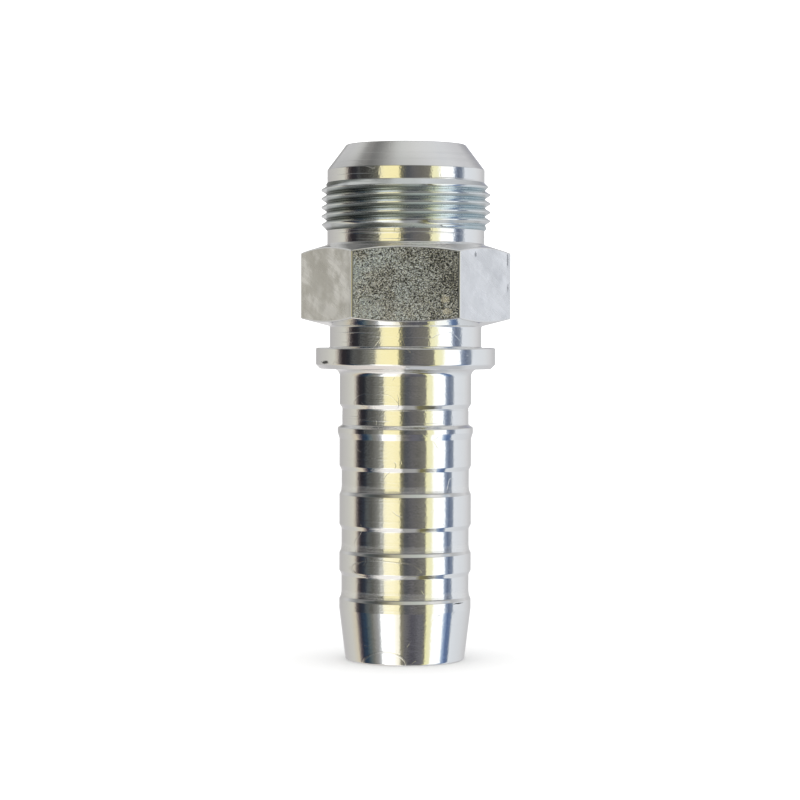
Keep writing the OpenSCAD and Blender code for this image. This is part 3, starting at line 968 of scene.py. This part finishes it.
# The neck, the nose, the lock groove and the upper groove, where the tool's lines stayed deeper.
LINED_ROUGHNESS = (0.05, 0.22)
lined, tree, shader = metal("zinc with turning lines", PLATE, 0.06)
lines = use(tree, turning, Lines_per_Metre=1900.0)
marks = use(tree, wear)
feed(tree, shader, Roughness=between(tree, most(tree, lines["Mask"], marks["Mask"]), *LINED_ROUGHNESS))
mottle = noise(tree, object_place(tree), 2200.0, 1.0)
raise_surface(tree, shader, (lines["Height"], 26), (mottle, 15), (marks["Height"], 12))

# The satin seat, with painted shade that darkens its foot on the left.
SEAT_COLOUR = (0.84, 0.84, 0.84)
SEAT_SHADE = (0.73, 0.73, 0.73)
SEAT_ROUGHNESS = (0.17, 0.26)
SHADE_UP = 4.5
SHADE_SIDE = (0.011, 0.001)
satin, tree, shader = metal("satin zinc seat", SEAT_COLOUR, 0.20)
spot = object_axes(tree)
# Painted shade: the seat's colour turns darker towards its foot on the left.
painted_seat_shade = product(tree, rise(tree, spot["Z"], (seat_z + SHADE_UP) * MM, seat_z * MM),
                  rise(tree, spot["X"], *SHADE_SIDE))
feed(tree, shader, Base_Color=blend_colours(tree, painted_seat_shade, SEAT_COLOUR, SEAT_SHADE))
lines = use(tree, turning, Lines_per_Metre=1800.0)
marks = use(tree, wear, Scratches=0.6)
feed(tree, shader, Roughness=between(tree, lines["Mask"], *SEAT_ROUGHNESS))
raise_surface(tree, shader, (lines["Height"], 4), (marks["Height"], 12))

# The bore, as the drill left it, with thin plate.
BORE_COLOUR = (0.62, 0.62, 0.60)
BORE_ROUGHNESS = (0.26, 0.45)
bored, tree, shader = metal("zinc in the bore", BORE_COLOUR, 0.32)
lines = use(tree, turning, Lines_per_Metre=900.0)
feed(tree, shader, Roughness=between(tree, lines["Mask"], *BORE_ROUGHNESS))
raise_surface(tree, shader, (lines["Height"], 30))

# The thread. Its plate colour shows on the crests and on the nose's chamfer, but for the chamfer's far left. Down in
# the roots the colour is painted light: painted shade, dark on the left, and painted reflection, pale in the middle
# and bluish on the right.
CREST_COLOUR = (0.78, 0.81, 0.81)
LEFT_PAINTED_SHADE = (0.14, 0.155, 0.14)
MIDDLE_PAINTED_REFLECTION = (0.80, 0.88, 0.90)
RIGHT_PAINTED_REFLECTION = (0.48, 0.58, 0.62)
MIDDLE_PAINTED_REFLECTION_FROM = (-0.017, 0.010)
RIGHT_PAINTED_REFLECTION_FROM = (0.0115, 0.0155)
NOSE_PLATE_BELOW = (1.6, 1.0)
NOSE_PLATE_FROM = (-0.0135, -0.0085)
BRIGHT_FLANK = 0.8
THREAD_ROUGHNESS = (0.12, 0.26)
ROOT_ROUGHER = 0.13
threaded, tree, shader = metal("zinc on the thread", (0.76, 0.79, 0.78), 0.2)
lines = use(tree, turning, Lines_per_Metre=2500.0, Drift=120.0)
marks = use(tree, wear)
spot = object_axes(tree)
out_from_axis = distance(tree, spot["X"], spot["Y"])
at_nose = product(tree, rise(tree, spot["Z"], *((nose_z - below) * MM for below in NOSE_PLATE_BELOW)),
                  rise(tree, spot["X"], *NOSE_PLATE_FROM))
on_crest = rise(tree, out_from_axis, THREAD_ROOT_R * MM, (THREAD_ROOT_R + BRIGHT_FLANK) * MM)
clear_of_painted_light = most(tree, at_nose, on_crest)
# Painted light in the roots: painted shade on the left, painted reflection pale in the middle and bluish on the
# right.
painted_root_light = blend_colours(tree, rise(tree, spot["X"], *MIDDLE_PAINTED_REFLECTION_FROM, "LINEAR"), LEFT_PAINTED_SHADE, MIDDLE_PAINTED_REFLECTION)
painted_root_light = blend_colours(tree, rise(tree, spot["X"], *RIGHT_PAINTED_REFLECTION_FROM), painted_root_light, RIGHT_PAINTED_REFLECTION)
feed(tree, shader, Base_Color=blend_colours(tree, clear_of_painted_light, painted_root_light, CREST_COLOUR))
worn = between(tree, most(tree, lines["Mask"], marks["Mask"]), *THREAD_ROUGHNESS)
feed(tree, shader, Roughness=calc(tree, "ADD", worn, between(tree, clear_of_painted_light, ROOT_ROUGHER, 0.0)))
raise_surface(tree, shader, (lines["Height"], 4), (marks["Height"], 6))

# Five of the hexagon's flats. The drawn skin is smeared and dragged aslant, dirtier low down, with three nicks near
# the right flat's edges. Their colour also holds painted reflection, warmer and darker on the left and bluish on the
# right, and the flat behind on the right is darkened with painted shade.
SMEAR_SLANT = math.radians(-42)
SMEARS = (90.0, 40.0, 420.0)
SMEAR_FROM = (0.42, 0.58)
DRAGS = (60.0, 40.0, 1600.0)
DRAG_FROM = (0.5, 0.62)
DIRT_AND_PAINTED_TINT_SIDE = (0.012, -0.018)
DIRTY_LOW = (11, 3)
DIRTY_RIGHT_PAINTED_COOL, DIRTY_LEFT_PAINTED_WARM = (0.78, 0.79, 0.81), (0.62, 0.605, 0.56)
CLEAN_RIGHT_PAINTED_COOL, CLEAN_LEFT_PAINTED_WARM = (0.97, 0.98, 1.0), (0.97, 0.96, 0.93)
WIPED_SHARE = (0.4, 1.15)
WIPED_LOW_DOWN = 0.75
BEHIND_FROM = (0.0, 0.001)
PAINTED_SHADE_FLAT_FROM = (0.0126, 0.0130)
PAINTED_SHADE_FLAT_COLOUR = (0.42, 0.42, 0.41)
PAINTED_SHADE_FLAT_SHARE = 0.75
DRAG_COLOUR = (0.45, 0.45, 0.44)
DRAG_SHARE = (0.05, 0.14)
FLAT_NICKS = (
    (0.0166, 0.0985, 0.00008, 0.00022),
    (0.0248, 0.0976, 0.00007, 0.0006),
    (0.0249, 0.0908, 0.00006, 0.0003),
)
FLAT_NICK_COLOUR = (0.25, 0.26, 0.28)
FLAT_NICK_SHARE = 0.8
FLAT_ROUGHNESS = (0.18, 0.32)
drawn, tree, shader = metal("zinc on drawn flats", (0.85, 0.85, 0.84), 0.24)
skin = use(tree, grit, Grains_per_Metre=900.0, Blotches_per_Metre=160.0)
marks = use(tree, wear, Scratches=0.8)
aslant = new_node(tree, "ShaderNodeVectorRotate", rotation_type="Y_AXIS")
slanted = feed(tree, aslant, Angle=SMEAR_SLANT, Vector=object_place(tree)).outputs[0]
smear = rise(tree, noise(tree, slanted, SMEARS, 5.0, 0.6), *SMEAR_FROM)
drag = rise(tree, noise(tree, slanted, DRAGS, 3.0, 0.6), *DRAG_FROM)
spot = object_axes(tree)
# Painted reflection: the flats' colour turns warmer and darker on the left and bluish on the right.
dirt_and_painted_tint_side = rise(tree, spot["X"], *DIRT_AND_PAINTED_TINT_SIDE)
dirt_with_painted_tint = blend_colours(tree, dirt_and_painted_tint_side, DIRTY_RIGHT_PAINTED_COOL, DIRTY_LEFT_PAINTED_WARM)
clean_with_painted_tint = blend_colours(tree, dirt_and_painted_tint_side, CLEAN_RIGHT_PAINTED_COOL, CLEAN_LEFT_PAINTED_WARM)
dirty_low = rise(tree, spot["Z"], *((hex_z + above) * MM for above in DIRTY_LOW))
wiped = product(tree, between(tree, smear, *WIPED_SHARE), between(tree, dirty_low, 1.0, WIPED_LOW_DOWN))
dirt_and_painted_light = blend_colours(tree, product(tree, skin["Mask"], wiped), dirt_with_painted_tint, clean_with_painted_tint)
# Painted shade: the flat behind on the right is darkened.
painted_shade_flat = product(tree, rise(tree, spot["Y"], *BEHIND_FROM), rise(tree, spot["X"], *PAINTED_SHADE_FLAT_FROM))
dirt_and_painted_light = blend_colours(tree, product(tree, painted_shade_flat, PAINTED_SHADE_FLAT_SHARE), dirt_and_painted_light, PAINTED_SHADE_FLAT_COLOUR)
dirt_and_painted_light = blend_colours(tree, product(tree, drag, between(tree, dirt_and_painted_tint_side, *DRAG_SHARE)), dirt_and_painted_light, DRAG_COLOUR)
nicked = blots(tree, FLAT_NICKS, **NICK)
dirt_and_painted_light = blend_colours(tree, product(tree, nicked, FLAT_NICK_SHARE), dirt_and_painted_light, FLAT_NICK_COLOUR)
feed(tree, shader, Base_Color=dirt_and_painted_light, Roughness=between(tree, smear, *FLAT_ROUGHNESS))
raise_surface(tree, shader, (skin["Height"], 8), (skin["Mask"], 20), (smear, 11), (marks["Height"], 15))

# The front flat's coarse grain: each cell is bright plate or a pit darkened with painted shade. More of them are
# bright on the left and low down, which is painted light, and blotches of cooler plate gather on the left as painted
# reflection. Two spots at the lower right are worn pale.
CELLS = 5800.0
LESS_ON_RIGHT, MORE_ON_LEFT = -0.11, 0.11
RIGHT_TO_LEFT = (0.011, -0.012)
BRIGHT_LOW = (9, 2)
MORE_LOW_DOWN = 0.10
SKIN_SHARE = 0.16
CELL_FROM = (0.18, 0.82)
PAINTED_PIT_SHADE_COLOUR = (0.018, 0.021, 0.021)
WARM_PLATE, COOL_PLATE = (0.86, 0.87, 0.86), (0.80, 0.89, 0.95)
COOL_SHARE = (0.2, 1.0)
WORN_SPOTS = ((0.0093, 0.0877, 0.00035, 0.0003), (0.0098, 0.0849, 0.00045, 0.00025))
WORN_COLOUR = (0.95, 0.91, 0.80)
WORN_SHARE = 0.6
CHALKY_CELLS_FROM = (0.8, 1.0)
CHALKY_CELLS_METALLIC = 0.86
rough, tree, shader = metal("rough zinc flat", (0.40, 0.41, 0.41), 0.26)
spot = object_axes(tree)
# Painted light: the cells turn brighter and the plate cooler towards the left, and brighter low down.
leftward = rise(tree, spot["X"], *RIGHT_TO_LEFT, "LINEAR")
skin = use(tree, grit, Blotches_per_Metre=150.0)
cells = feed(tree, new_node(tree, "ShaderNodeTexVoronoi"), Scale=CELLS, Vector=object_place(tree))
grain = feed(tree, new_node(tree, "ShaderNodeSeparateColor"), in0=cells.outputs["Color"]).outputs[0]
brighter = calc(tree, "MULTIPLY_ADD", centred(tree, skin["Mask"]), SKIN_SHARE,
                between(tree, leftward, LESS_ON_RIGHT, MORE_ON_LEFT))
low_down = rise(tree, spot["Z"], *((hex_z + above) * MM for above in BRIGHT_LOW))
brighter = calc(tree, "MULTIPLY_ADD", low_down, MORE_LOW_DOWN, brighter)
grain = rise(tree, calc(tree, "ADD", grain, brighter), *CELL_FROM, "LINEAR")
cool = product(tree, skin["Mask"], between(tree, leftward, *COOL_SHARE))
# Painted shade: the pit cells are near black.
grain_colour_with_painted_light = blend_colours(tree, grain, PAINTED_PIT_SHADE_COLOUR, blend_colours(tree, cool, WARM_PLATE, COOL_PLATE))
worn = product(tree, blots(tree, WORN_SPOTS, wobble=3.0, uneven=900.0), WORN_SHARE)
grain_colour_with_painted_light = blend_colours(tree, worn, grain_colour_with_painted_light, WORN_COLOUR)
chalky = rise(tree, grain, *CHALKY_CELLS_FROM)
feed(tree, shader, Base_Color=grain_colour_with_painted_light, Metallic=between(tree, chalky, 1.0, CHALKY_CELLS_METALLIC))
raise_surface(tree, shader, (cells.outputs["Distance"], 50))

for finish in (bright, lined, satin, bored, threaded, drawn, rough):
    insert_mesh.materials.append(finish)
